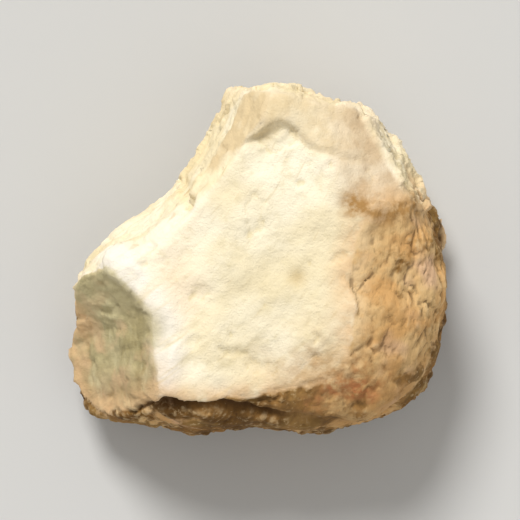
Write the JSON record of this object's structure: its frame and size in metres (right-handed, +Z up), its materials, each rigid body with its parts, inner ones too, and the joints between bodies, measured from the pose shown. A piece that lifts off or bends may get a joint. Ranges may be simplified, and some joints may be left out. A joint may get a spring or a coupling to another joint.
{
  "type": "chopped piece of dried wild yam root",
  "caption": "Chopped chunk of dried wild yam rhizome: pale, starchy cut faces with knobbly tan bark left on two sides and underneath, lying on its flattest cut.",
  "frame": {"origin": "on the surface the chunk lies on, under the middle of its bounding box", "axes": "+Z up from the resting face; +X along the longest side, towards the bark-covered end; +Y towards the chopped neck"},
  "size_m": [0.0134, 0.0122, 0.0081],
  "materials": {
    "dry_root": "matt, chalky cut flesh, with dry wrinkled tan bark on the outside of the root"
  },
  "bodies": {
    "root": {"root_chunk": "dry_root"}
  },
  "joints": []
}
